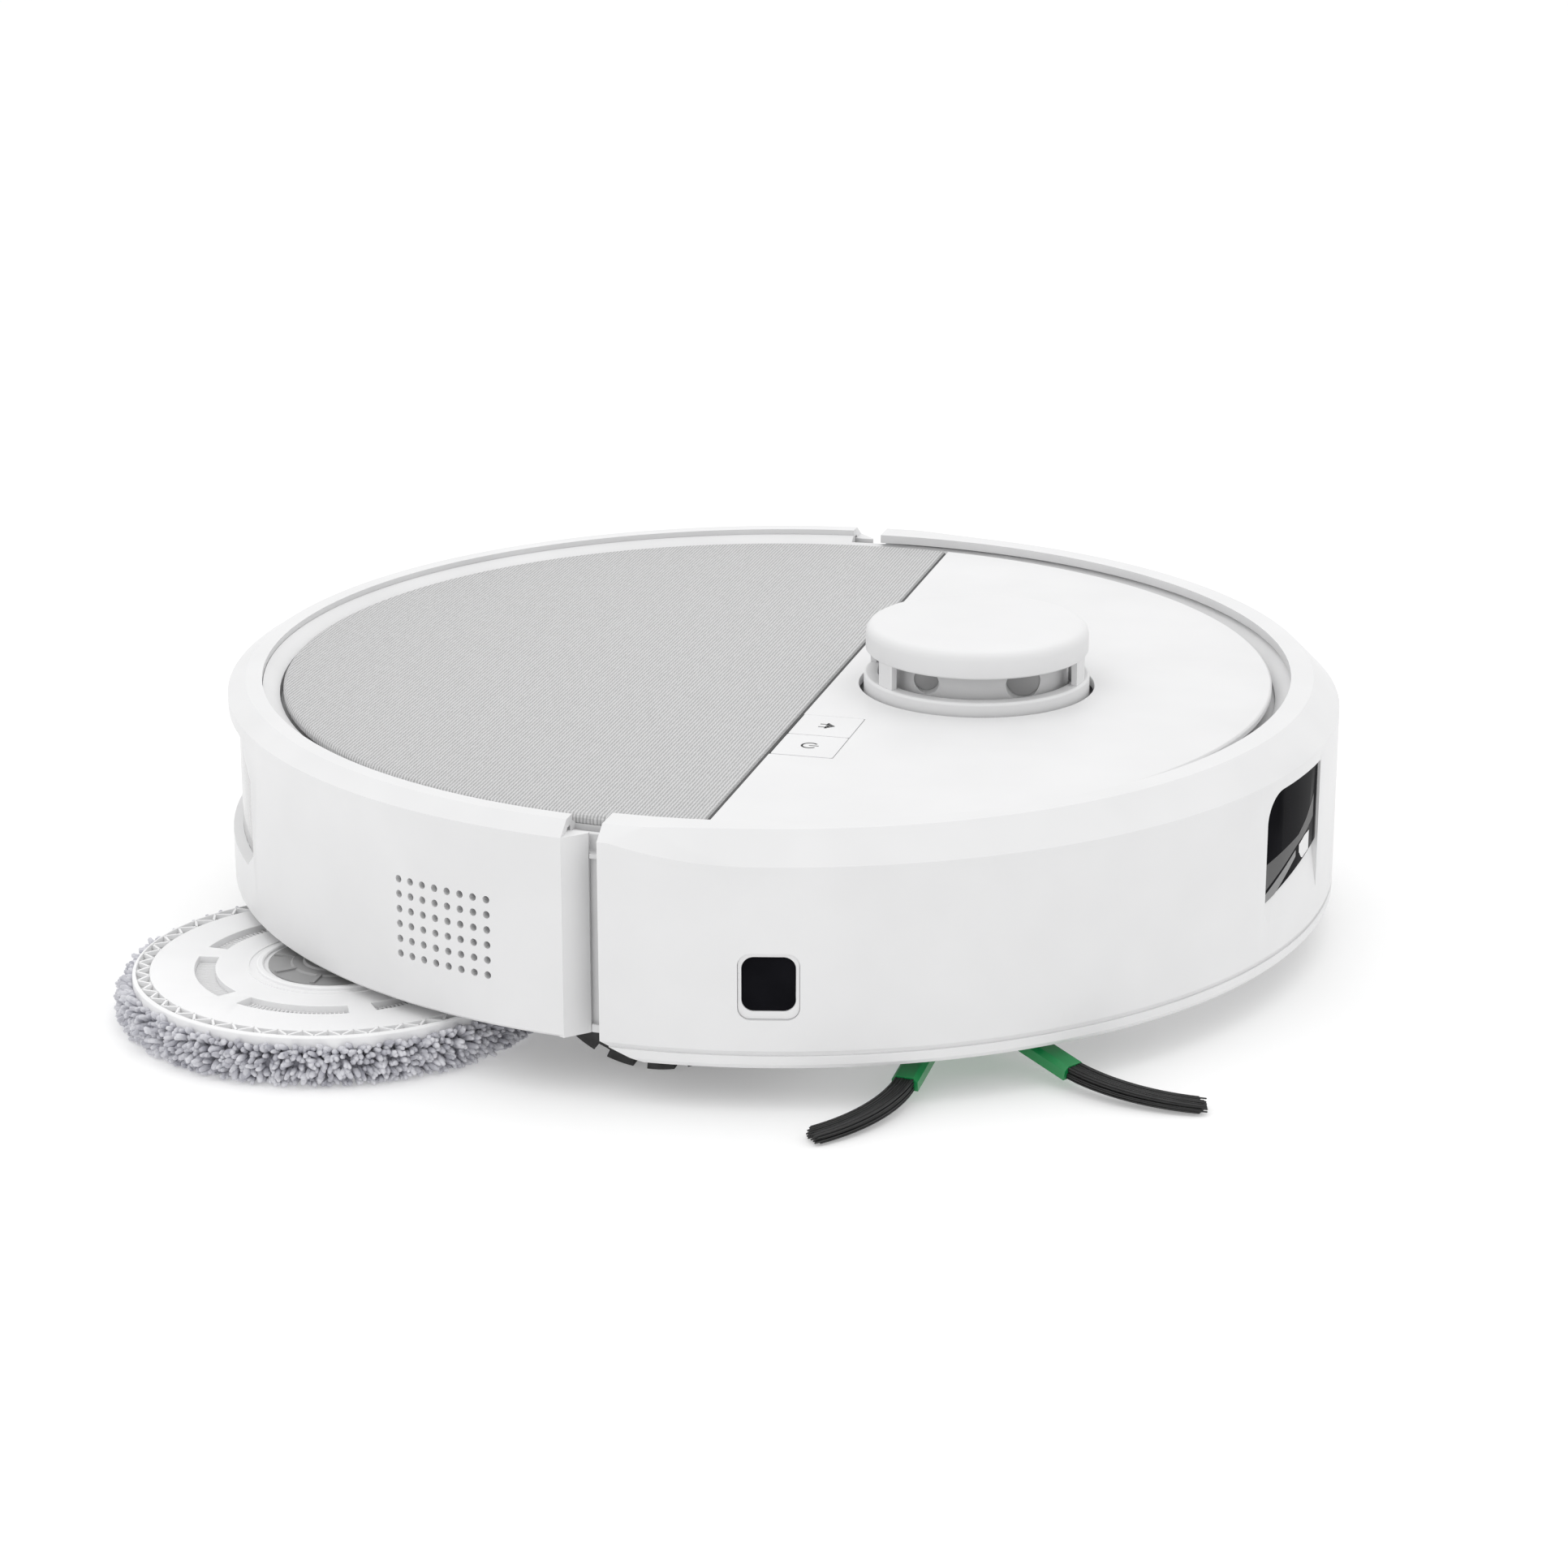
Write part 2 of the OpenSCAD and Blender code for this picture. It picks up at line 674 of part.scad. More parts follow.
// Places a shape and its mirror image about the line between the two arms.
module brush_pair() {
    translate([side_brush[0], side_brush[1], 0]) rotate([0, 0, side_dir]) mirrored_y() children();
}

// Arm that runs outward and down from the hub.
module brush_arm() {
    translate([2.5, 11, 12.3]) rotate([0, 0, 31]) rotate([0, 11.3, 0]) difference() {
        box(-7, 26.5, -3.8, 3.8, -4.2, 0);
        for (s = [-1, 1]) translate([-8, s * 3.8, 0]) rotate([45, 0, 0])
            box(0, 40, -0.9, 0.9, -0.9, 0.9);
    }
}

// Green hub and arms of the side brush.
module side_brush_arms() {
    color([0.05, 0.55, 0.25]) difference() {
        union() {
            rod(side_brush[0], side_brush[1], 11, 6.4, 13);
            brush_pair() brush_arm();
        }
        rod(side_brush[0], side_brush[1], 4.05, 8.9, 20);
        rod(side_brush[0], side_brush[1], 1.6, 5, 11);
        rod(side_brush[0], side_brush[1], 3.2, 5, 7.6);
    }
}

// Tuft that leaves the end of an arm and bends outward, thinning towards its tip.
module tuft() {
    intersection() {
        translate([0.5, 66.9, 0]) rotate([0, 0, -59.6]) rotate_extrude(angle = 50)
            translate([47.2, 0]) square([3.6, 10]);
        rotate_extrude() polygon([[20, 0.5], [sweep_r, 0.5], [sweep_r, 2], [35, 6.5],
            [20, 8.3]]);
    }
}

// Bristle tufts of the side brush.
module side_brush_bristles() {
    color([0.06, 0.06, 0.065]) brush_pair() tuft();
}

// Screw that holds the side brush.
module side_brush_screw() {
    color([0.72, 0.73, 0.75]) {
        rod(side_brush[0], side_brush[1], 1.6, 7.6, 8.9);
        rod(side_brush[0], side_brush[1], 3.1, 6.6, 7.6);
    }
}

// ---- mops ----

// Swing arm that carries the right mop out past the body.
module mop_swing_arm() {
    color([0.3, 0.31, 0.33]) translate([mop_pivot[0], mop_pivot[1], 0])
        rotate([0, 0, mop_angle]) difference() {
            union() {
                translate([0, 0, floor_top + 2.3]) cylinder(r = 8, h = 8);
                translate([0, 0, body_z - 1]) cylinder(r = 3, h = floor_top + 3.3 - body_z + 1);
                translate([0, -6, floor_top + 2.3]) cube([mop_arm, 12, 8]);
                translate([mop_arm, 0, floor_top + 2.3]) cylinder(r = 7, h = 8);
            }
            translate([mop_arm, 0, 0]) cylinder(r = 4.05, h = 60);
        }
}

module mop_spindle(p) {
    color([0.72, 0.73, 0.75]) {
        rod(p[0], p[1], 4, plate_z - 3, floor_top + 11.3);
        rod(p[0], p[1], 6, floor_top + 10.6, floor_top + 12);
    }
}

// Plate with a groove near its rim, six arc slots and a hub.
module mop_plate(p) {
    color([0.9, 0.9, 0.91]) translate([p[0], p[1], 0]) difference() {
        rotate_extrude() polygon([[4, plate_z - 4.6], [plate_r - 0.6, plate_z - 4.6],
            [plate_r, plate_z - 4], [plate_r, plate_z - 0.6], [plate_r - 0.6, plate_z],
            [plate_r - 1.1, plate_z], [plate_r - 1.2, plate_z - 1.4], [plate_r - 4.9, plate_z - 1.4],
            [plate_r - 5, plate_z - 0.2], [14, plate_z - 0.2], [12, plate_z], [4, plate_z]]);
        for (i = [0:5]) rotate([0, 0, 60 * i - 112.5]) rotate_extrude(angle = 49)
            translate([35, plate_z - 2.4]) square([6, 5]);
    }
}

// Thick pile pad below a plate.
module mop_pad(p) {
    color([0.62, 0.62, 0.68]) translate([p[0], p[1], 0]) rotate_extrude()
        polygon([[0, 0], [pad_r - 4, 0], [pad_r - 1, 1.4], [pad_r, 4.4], [pad_r - 1, 7.4],
            [pad_r - 4, plate_z - 4.6], [0, plate_z - 4.6]]);
}

// Shaft of the right mop.
module mop_spindle_right() {
    mop_spindle(mop_out);
}

// Plate of the right mop.
module mop_plate_right() {
    mop_plate(mop_out);
}

// Pad of the right mop.
module mop_pad_right() {
    mop_pad(mop_out);
}

// Bearing block of the left mop.
module mop_drive_left() {
    color([0.3, 0.31, 0.33]) difference() {
        union() {
            rod(mop_left[0], mop_left[1], 12, floor_top, floor_top + 10.3);
            rod(mop_left[0], mop_left[1], 7.9, body_z, floor_top);
        }
        rod(mop_left[0], mop_left[1], 4.05, 0, 60);
    }
}

// Shaft of the left mop.
module mop_spindle_left() {
    mop_spindle(mop_left);
}

// Plate of the left mop.
module mop_plate_left() {
    mop_plate(mop_left);
}

// Pad of the left mop.
module mop_pad_left() {
    mop_pad(mop_left);
}

// ---- inside ----

// Dust bin below the lid.
module dust_bin() {
    color([0.55, 0.57, 0.6]) difference() {
        box(-94, -10, -44, 58, 36, deck_top - 1);
        box(-91, -13, -41, 55, 39, deck_top + 2);
    }
    color([0.55, 0.57, 0.6]) for (x = [-86, -20], y = [-36, 50])
        rod(x, y, 4, floor_top, 36);
}

// Clean water tank behind the bin.
module water_tank() {
    color([0.7, 0.74, 0.8]) difference() {
        intersection() {
            cylinder_z(152, 36, deck_top - 3);
            box(-160, -97, -80, 80, 30, 80);
        }
        intersection() {
            cylinder_z(149.5, 38.5, deck_top - 5.5);
            box(-160, -99.5, -77.5, 77.5, 30, 80);
        }
    }
    color([0.7, 0.74, 0.8]) for (y = [-20, 20]) rod(-140, y, 4, floor_top, 36);
}

// Battery block at the front left.
module battery_pack() {
    color([0.2, 0.22, 0.3]) box(58, 105, 26, 104, floor_top, 44);
}

// Suction fan in its round case.
module fan_unit() {
    color([0.25, 0.26, 0.28]) {
        rod(-24, -80, 24, 36, 62);
        rod(-24, -80, 9, floor_top, 36);
        box(-50, -30, -112, -96, 40, 56);
    }
}

// Circuit board on posts.
module main_board() {
    color([0.1, 0.35, 0.2]) {
        box(58, 108, -74, 22, 52, 53.6);
        for (x = [63, 103], y = [-69, 17]) rod(x, y, 2.5, floor_top, 52);
    }
}

// Downward looking drop sensors at the front.
module cliff_sensors() {
    color([0.08, 0.08, 0.09]) for (a = [-38, 38]) rotate([0, 0, a])
        box(140, 152, -7, 7, body_z + 0.4, floor_top + 4);
}

// Screws that hold the floor pan to the deck posts.
module chassis_screws() {
    color([0.6, 0.61, 0.63]) for (a = post_a) rotate([0, 0, a]) {
        rod(152, 0, 3.2, body_z + 0.2, body_z + 1.4);
        rod(152, 0, 1.6, body_z + 1.4, body_z + 12);
    }
}

chassis_base();
rear_shell();
side_frames();
top_deck();
deck_rim();
rear_lid();
lid_hinge_pins();
front_panel();
home_button();
power_button();
bumper_shell();
bumper_skirt();
bumper_switches();
front_window_right();
front_window_left();
side_sensor_bezel();
side_sensor_window();
rear_port_window();
charging_contacts();
turret_base();
turret_cap();
lidar_spindle();
lidar_drum();
lidar_lenses();
drive_arm_right();
wheel_hub_right();
tyre_right();
drive_arm_left();
wheel_hub_left();
tyre_left();
caster_fork();
caster_axle();
caster_wheel();
brush_housing();
brush_guard();
brush_core();
brush_blades();
suction_lip();
side_brush_motor();
side_brush_arms();
side_brush_bristles();
side_brush_screw();
mop_swing_arm();
mop_spindle_right();
mop_plate_right();
mop_pad_right();
mop_drive_left();
mop_spindle_left();
mop_plate_left();
mop_pad_left();
dust_bin();
water_tank();
battery_pack();
fan_unit();
main_board();
cliff_sensors();
chassis_screws();
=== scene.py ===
import bpy, bmesh, json, math, random
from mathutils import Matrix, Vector

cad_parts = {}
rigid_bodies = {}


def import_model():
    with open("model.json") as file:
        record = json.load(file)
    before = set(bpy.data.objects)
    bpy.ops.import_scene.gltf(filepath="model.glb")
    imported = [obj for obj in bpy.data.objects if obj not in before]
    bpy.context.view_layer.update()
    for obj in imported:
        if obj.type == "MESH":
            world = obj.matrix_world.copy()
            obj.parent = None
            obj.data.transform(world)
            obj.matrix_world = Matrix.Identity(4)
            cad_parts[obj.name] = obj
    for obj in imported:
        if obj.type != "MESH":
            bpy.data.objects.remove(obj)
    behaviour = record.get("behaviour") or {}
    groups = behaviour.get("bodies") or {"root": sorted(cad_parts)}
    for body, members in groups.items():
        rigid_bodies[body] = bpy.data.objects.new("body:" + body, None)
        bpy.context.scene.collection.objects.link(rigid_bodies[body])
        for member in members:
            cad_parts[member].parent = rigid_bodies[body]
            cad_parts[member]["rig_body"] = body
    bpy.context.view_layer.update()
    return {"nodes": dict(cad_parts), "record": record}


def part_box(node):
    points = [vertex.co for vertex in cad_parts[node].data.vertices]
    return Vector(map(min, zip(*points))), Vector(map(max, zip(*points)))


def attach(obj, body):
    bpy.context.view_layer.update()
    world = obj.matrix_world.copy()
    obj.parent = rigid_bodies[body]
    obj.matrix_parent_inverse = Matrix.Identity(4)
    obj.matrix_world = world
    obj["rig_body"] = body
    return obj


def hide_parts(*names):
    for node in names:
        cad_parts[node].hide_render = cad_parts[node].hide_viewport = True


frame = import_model()
MM = 0.001
scene = bpy.context.scene

# ---------------------------------------------------------------- camera
CAM_AZIMUTH = 14.96        # degrees round from the object's right side towards its front
CAM_DISTANCE = 1181.1      # mm, level distance from the body axis
CAM_HEIGHT = 426.7         # mm above the floor
CAM_PITCH = 18.2           # degrees below level
CAM_LENS = 91.2            # mm on a 36 mm sensor


def make_camera():
    data = bpy.data.cameras.new("camera")
    data.lens = CAM_LENS
    data.sensor_width = 36.0
    data.clip_start, data.clip_end = 0.05, 20
    cam = bpy.data.objects.new("camera", data)
    scene.collection.objects.link(cam)
    a, p = math.radians(CAM_AZIMUTH), math.radians(CAM_PITCH)
    away = Vector((math.sin(a), -math.cos(a), 0))
    cam.location = (away * CAM_DISTANCE + Vector((0, 0, CAM_HEIGHT))) * MM
    look = -away * math.cos(p) - Vector((0, 0, math.sin(p)))
    cam.rotation_euler = look.to_track_quat("-Z", "Y").to_euler()
    scene.camera = cam


make_camera()

# ---------------------------------------------------------------- node helpers


class Mat:
    """A material with helpers for building its node tree."""

    def __init__(self, name):
        self.m = bpy.data.materials.new(name)
        self.m.use_nodes = True
        self.t = self.m.node_tree
        self.bsdf = self.t.nodes["Principled BSDF"]

    def node(self, kind, **values):
        n = self.t.nodes.new(kind)
        for k, v in values.items():
            if k in n.inputs:
                n.inputs[k].default_value = v
            else:
                setattr(n, k, v)
        return n

    def link(self, a, b):
        self.t.links.new(a, b)

    def set(self, **values):
        for k, v in values.items():
            self.bsdf.inputs[k.replace("_", " ")].default_value = v

    def coords(self):
        return self.node("ShaderNodeTexCoord").outputs["Object"]

    def math(self, op, a, b=None):
        n = self.t.nodes.new("ShaderNodeMath")
        n.operation = op
        for i, v in enumerate((a, b)):
            if v is None:
                continue
            if isinstance(v, (int, float)):
                n.inputs[i].default_value = v
            else:
                self.link(v, n.inputs[i])
        return n.outputs[0]

    def noise(self, scale, detail=3.0, rough=0.5):
        n = self.node("ShaderNodeTexNoise")
        n.inputs["Scale"].default_value = scale
        n.inputs["Detail"].default_value = detail
        n.inputs["Roughness"].default_value = rough
        self.link(self.coords(), n.inputs["Vector"])
        return n.outputs["Fac"]

    def ramp(self, fac, *stops):
        n = self.node("ShaderNodeValToRGB")
        while len(n.color_ramp.elements) < len(stops):
            n.color_ramp.elements.new(0.5)
        for el, (pos, c) in zip(n.color_ramp.elements, stops):
            el.position = pos
            el.color = (*c, 1) if len(c) == 3 else c
        self.link(fac, n.inputs["Fac"])
        return n.outputs["Color"]

    def spread(self, fac, low, high):
        n = self.node("ShaderNodeMapRange")
        n.inputs["To Min"].default_value = low
        n.inputs["To Max"].default_value = high
        self.link(fac, n.inputs["Value"])
        return n.outputs["Result"]

    def bump(self, height, distance, strength=1.0):
        n = self.node("ShaderNodeBump")
        n.inputs["Strength"].default_value = strength
        n.inputs["Distance"].default_value = distance
        self.link(height, n.inputs["Height"])
        self.link(n.outputs["Normal"], self.bsdf.inputs["Normal"])


def grey(v):
    return (v, v, v * 1.005)


def plastic(name, low, high, rough, grain=2600, depth=0.00002, coat=0.0, spec=0.5):
    """Moulded plastic: faint cloudiness in colour, uneven sheen and a fine spark-eroded grain."""
    m = Mat(name)
    cloud = m.noise(34, 2)
    m.link(m.ramp(cloud, (0.3, low), (0.7, high)), m.bsdf.inputs["Base Color"])
    m.link(m.spread(m.noise(160, 2), rough - 0.03, rough + 0.05), m.bsdf.inputs["Roughness"])
    m.bump(m.noise(grain, 2), depth, 0.35)
    m.set(Coat_Weight=coat, Coat_Roughness=0.08, Specular_IOR_Level=spec)
    return m.m


WEAVE_THREAD = 1.05        # mm from one thread to the next


def weave_material():
    """Plain weave moulded into the lid: two thread directions crossing over and under, with
    painted shade darkening the hollows between the threads.
    """
    m = Mat("lid_weave")
    sep = m.node("ShaderNodeSeparateXYZ")
    m.link(m.coords(), sep.inputs[0])
    pitch = math.pi / (WEAVE_THREAD * MM)
    wobble = m.math("MULTIPLY", m.noise(420, 2), 0.9)
    u = m.math("ADD", m.math("MULTIPLY", sep.outputs[0], pitch), wobble)
    v = m.math("ADD", m.math("MULTIPLY", sep.outputs[1], pitch), wobble)
    cell = m.math("MULTIPLY", m.math("SINE", u), m.math("SINE", v))
    across = m.math("ABSOLUTE", m.math("COSINE", u))
    along = m.math("ABSOLUTE", m.math("COSINE", v))
    over = m.spread(cell, 0.0, 1.0)
    mix = m.node("ShaderNodeMix")
    m.link(over, mix.inputs[0])
    m.link(across, mix.inputs[2])
    m.link(along, mix.inputs[3])
    height = m.math("SUBTRACT", 1.0, mix.outputs[0])
    dirt = m.math("MULTIPLY", m.noise(900, 2), 0.35)
    # Colour follows the weave height, darker in the hollows between threads: painted shade, plus
    # the random tone of the dirt noise.
    hollow_shade_and_dirt = m.math("ADD", m.math("MULTIPLY", height, 0.75), dirt)
    m.link(m.ramp(hollow_shade_and_dirt, (0.15, grey(0.33)), (0.55, grey(0.57)), (0.95, grey(0.70))),
           m.bsdf.inputs["Base Color"])
    m.bump(height, 0.00022, 0.6)
    m.link(m.spread(m.noise(300, 2), 0.5, 0.62), m.bsdf.inputs["Roughness"])
    return m.m


def gloss_black(name, spec):
    """Smooth black window plastic with a slight unevenness in its polish."""
    m = Mat(name)
    m.link(m.ramp(m.noise(60, 2), (0.3, (0.004, 0.004, 0.005)), (0.7, (0.008, 0.008, 0.01))),
           m.bsdf.inputs["Base Color"])
    m.link(m.spread(m.noise(240, 2), 0.03, 0.07), m.bsdf.inputs["Roughness"])
    m.set(Specular_IOR_Level=spec)
    return m.m


def rubber(name, low, high, rough=0.75):
    """Matt rubber: fine mottling and a rough moulded surface."""
    m = Mat(name)
    m.link(m.ramp(m.noise(220, 3), (0.3, low), (0.7, high)), m.bsdf.inputs["Base Color"])
    m.link(m.spread(m.noise(500, 2), rough - 0.06, rough + 0.08), m.bsdf.inputs["Roughness"])
    m.bump(m.noise(1800, 3), 0.00006, 0.5)
    return m.m


def metal(name, low, high, rough=0.3):
    """Turned or drawn metal with fine lines across its height."""
    m = Mat(name)
    stretch = m.node("ShaderNodeMapping")
    stretch.inputs["Scale"].default_value = (1, 1, 14)
    m.link(m.coords(), stretch.inputs["Vector"])
    n = m.node("ShaderNodeTexNoise")
    n.inputs["Scale"].default_value = 900
    m.link(stretch.outputs[0], n.inputs["Vector"])
    m.link(m.ramp(n.outputs["Fac"], (0.3, low), (0.7, high)), m.bsdf.inputs["Base Color"])
    m.link(m.spread(n.outputs["Fac"], rough - 0.06, rough + 0.1), m.bsdf.inputs["Roughness"])
    m.set(Metallic=1.0)
    return m.m


def pile_material():
    """Chenille yarn: lilac grey, painted shade at the roots and painted light at the tips, matt
    with a soft sheen.
    """
    m = Mat("pile")
    sep = m.node("ShaderNodeSeparateXYZ")
    m.link(m.coords(), sep.inputs[0])
    info = m.node("ShaderNodeAttribute", attribute_name="tip")
    # Random mottle plus the vertex tone, which carries painted shade at the finger roots and on
    # the backing and painted light at the tips.
    tone = m.math("ADD", m.math("MULTIPLY", m.noise(260, 3), 0.7),
                  m.math("MULTIPLY", info.outputs["Fac"], 0.45))
    m.link(m.ramp(tone, (0.25, (0.22, 0.22, 0.255)), (0.5, (0.42, 0.42, 0.47)),
                  (0.8, (0.76, 0.76, 0.80))), m.bsdf.inputs["Base Color"])
    m.bump(m.noise(2600, 4, 0.7), 0.0004, 0.7)
    m.link(m.spread(m.noise(700, 2), 0.55, 0.7), m.bsdf.inputs["Roughness"])
    m.set(Sheen_Weight=0.15, Sheen_Roughness=0.5)
    return m.m


M = {
    "shell": plastic("shell_white", grey(0.74), grey(0.77), 0.38, spec=0.35),
    "panel": plastic("panel_white", grey(0.75), grey(0.775), 0.45, spec=0.3),
    "base": plastic("base_white", grey(0.70), grey(0.75), 0.5),
    "weave": weave_material(),
    "black": gloss_black("black_gloss", 0.008),
    "drum": plastic("drum_grey", grey(0.64), grey(0.70), 0.45, spec=0.3),
    "dark": plastic("dark_plastic", grey(0.035), grey(0.05), 0.5),
    "port": plastic("port_grey", grey(0.30), grey(0.36), 0.18, coat=0.4),
    "steel": metal("steel", grey(0.55), grey(0.7)),
    "contact": metal("contact", (0.72, 0.68, 0.58), (0.82, 0.78, 0.68), 0.22),
    "tyre": rubber("tyre_rubber", grey(0.035), grey(0.06)),
    "rubber": rubber("black_rubber", grey(0.02), grey(0.035)),
    # dark grey for the strip at the lid gap: painted shade
    "gap_shade": rubber("gap_shade_grey", grey(0.09), grey(0.12), 0.6),
    "green": plastic("green_plastic", (0.005, 0.21, 0.055), (0.008, 0.27, 0.075), 0.3,
                     coat=0.3),
    "bristle": rubber("bristle_black", grey(0.012), grey(0.022), 0.45),
    "plate": plastic("plate_white", grey(0.86), grey(0.90), 0.45, spec=0.3),
    "pile": pile_material(),
    "board": plastic("board_green", (0.01, 0.09, 0.04), (0.015, 0.12, 0.05), 0.4),
    "tank": plastic("tank_grey", grey(0.45), grey(0.52), 0.25, coat=0.2),
    "icon": plastic("icon_grey", grey(0.16), grey(0.2), 0.5),
    "lens": plastic("lens_smoked", grey(0.42), grey(0.46), 0.3, spec=0.3),
    # dark grey for the drive socket, partly painted shadow from the body
    "socket": plastic("socket_and_shadow_grey", grey(0.30), grey(0.34), 0.45),
    # grey for the recess floors of the mop plates: painted shade
    "recess_shade": plastic("recess_shade_grey", grey(0.42), grey(0.48), 0.6, spec=0.2),
    "smoke": plastic("window_smoke", grey(0.08), grey(0.12), 0.3, spec=0.1),
    "smoke_pale": plastic("window_smoke_pale", grey(0.22), grey(0.32), 0.3, spec=0.1),
}

BY_SLOT = {
    "shell_white": "shell", "panel_white": "panel", "base_white": "base", "lid_grey": "weave",
    "black_gloss": "black", "drum_grey": "drum", "dark_plastic": "dark", "port_grey": "port",
    "lens": "lens", "steel": "steel", "contact_metal": "contact", "tyre": "tyre",
    "rubber": "rubber", "green_plastic": "green", "bristle": "bristle", "mop_plate": "plate",
    "mop_pile": "pile", "board_green": "board", "tank_clear": "tank",
}
SLOT_OF = {s["node"]: s["material_slot"] for s in frame["record"]["subparts"]}
BODY_OF = {n: o["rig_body"] for n, o in frame["nodes"].items()}


SHARP = 30                 # degrees from which an edge of a CAD node is sharp, and is eased


def add_piece(name, bm, body, mat):
    """Links a finished bmesh as a piece riding on a CAD body."""
    mesh = bpy.data.meshes.new(name)
    bm.to_mesh(mesh)
    bm.free()
    obj = bpy.data.objects.new(name, mesh)
    scene.collection.objects.link(obj)
    for f in mesh.polygons:
        f.use_smooth = True
    mesh.set_sharp_from_angle(angle=math.radians(SHARP))
    mesh.materials.append(M[mat])
    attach(obj, body)
    return obj


WELD = 0.004               # mm within which two corners count as one
FLAT = 0.6                 # degrees within which two faces count as flat


def skin(node, bevel):
    """A finished copy of a CAD node: welded, with its hard edges eased by bevel mm."""
    src = frame["nodes"][node]
    bm = bmesh.new()
    bm.from_mesh(src.data)
    bmesh.ops.remove_doubles(bm, verts=bm.verts, dist=WELD * MM)
    bmesh.ops.dissolve_limit(bm, angle_limit=math.radians(FLAT), verts=bm.verts, edges=bm.edges)
    slot = SLOT_OF[node]
    obj = add_piece(node + "_skin", bm, BODY_OF[node], BY_SLOT[slot])
    b = obj.modifiers.new("eased", "BEVEL")
    b.width = bevel * MM
    b.segments = 2
    b.limit_method = "ANGLE"
    b.angle_limit = math.radians(SHARP)
    b.use_clamp_overlap = True
    b.harden_normals = True
    b.miter_outer = "MITER_ARC"
    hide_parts(node)


BEVEL = 0.2                # mm on the nodes that have no bevel of their own
BEVELS = {"rear_shell": 0.5, "bumper_shell": 0.5, "bumper_skirt": 0.3, "rear_lid": 0.25,
          "front_panel": 0.25, "turret_cap": 0.3, "turret_base": 0.3, "home_button": 0.15,
          "power_button": 0.15, "side_sensor_window": 0.25, "side_sensor_bezel": 0.25}
REBUILT = ("mop_pad_right", "mop_pad_left", "side_brush_bristles")
for n in frame["nodes"]:
    if n not in REBUILT:
        skin(n, BEVELS.get(n, BEVEL))

# ---------------------------------------------------------------- mesh builder


class Build:
    """Collects vertices, faces and one tone per vertex, then becomes a piece."""

    def __init__(self):
        self.v, self.f, self.tone = [], [], []

    def ring(self, centre, right, up, radius, sides, tone=0.5):
        first = len(self.v)
        for k in range(sides):
            a = 2 * math.pi * k / sides
            self.v.append(centre + (right * math.cos(a) + up * math.sin(a)) * radius)
            self.tone.append(tone)
        return first

    def point(self, p, tone=0.5):
        self.v.append(Vector(p))
        self.tone.append(tone)
        return len(self.v) - 1

    def bridge(self, a, b, sides):
        for k in range(sides):
            n = (k + 1) % sides
            self.f.append((a + k, a + n, b + n, b + k))

    def fan(self, a, tip, sides, flip=False):
        for k in range(sides):
            n = (k + 1) % sides
            self.f.append((a + n, a + k, tip) if flip else (a + k, a + n, tip))

    def strand(self, path, radii, sides, tones=None):
        """Round-ended tube along a path."""
        last = None
        for i, (p, r) in enumerate(zip(path, radii)):
            ahead = path[min(i + 1, len(path) - 1)] - path[max(i - 1, 0)]
            t = ahead.normalized()
            side = t.cross(Vector((0, 0, 1)))
            if side.length < 0.2:
                side = t.cross(Vector((1, 0, 0)))
            side.normalize()
            up = side.cross(t)
            tone = tones[i] if tones else 0.5
            now = self.ring(p, side, up, r, sides, tone)
            if last is None:
                self.fan(now, self.point(p - t * r * 0.5, tone), sides, True)
            else:
                self.bridge(last, now, sides)
            last = now
        self.fan(last, self.point(path[-1] + t * radii[-1] * 0.7, tone), sides)

    def block(self, corners):
        """Box from eight corners: four below, then the four above them."""
        a = len(self.v)
        for c in corners:
            self.point(c)
        for q in ((3, 2, 1, 0), (4, 5, 6, 7), (0, 1, 5, 4), (1, 2, 6, 5), (2, 3, 7, 6),
                  (3, 0, 4, 7)):
            self.f.append(tuple(a + i for i in q))

    def bar(self, p, q, low, high, below, above):
        """Straight rib from p to q between two heights, with half widths below and above."""
        up = Vector((0, 0, 1))
        corners = [(p, -1), (q, -1), (q, 1), (p, 1)]
        self.block([c + below * s + up * low for c, s in corners]
                   + [c + above * s + up * high for c, s in corners])

    def lathe(self, centre, profile, sides, tone=0.5):
        """Turns (radius, height) pairs about an upright axis. Radius 0 closes the end."""
        across, up = Vector((1, 0, 0)), Vector((0, 1, 0))
        rows = []
        for r, z in profile:
            c = Vector((centre[0], centre[1], z))
            if r <= 0:
                rows.append((self.point(c, tone), True))
            else:
                rows.append((self.ring(c, across, up, r, sides, tone), False))
        for (a, pa), (b, pb) in zip(rows, rows[1:]):
            if pa:
                self.fan(b, a, sides, True)
            elif pb:
                self.fan(a, b, sides)
            else:
                self.bridge(a, b, sides)

    def piece(self, name, body, mat, smooth=40):
        mesh = bpy.data.meshes.new(name)
        mesh.from_pydata([tuple(v * MM) for v in self.v], [], self.f)
        mesh.update()
        tone = mesh.attributes.new("tip", "FLOAT", "POINT")
        tone.data.foreach_set("value", self.tone)
        obj = bpy.data.objects.new(name, mesh)
        scene.collection.objects.link(obj)
        mesh.polygons.foreach_set("use_smooth", [True] * len(mesh.polygons))
        if smooth is not None:
            mesh.set_sharp_from_angle(angle=math.radians(smooth))
        mesh.materials.append(M[mat])
        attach(obj, body)
        return obj


def place(node):
    """Centre, top height and half width along X of a node's box, in millimetres."""
    lo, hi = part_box(node)
    return (lo + hi) / 2 / MM, hi.z / MM, (hi.x - lo.x) / 2 / MM


def polar(degrees):
    """Unit vector on the floor at an angle from +X."""
    return Vector((math.cos(math.radians(degrees)), math.sin(math.radians(degrees)), 0))


def flat(v):
    return Vector((v.x, v.y, 0))


ROUND = 96                 # sides of a turned piece

# ---------------------------------------------------------------- mop pads

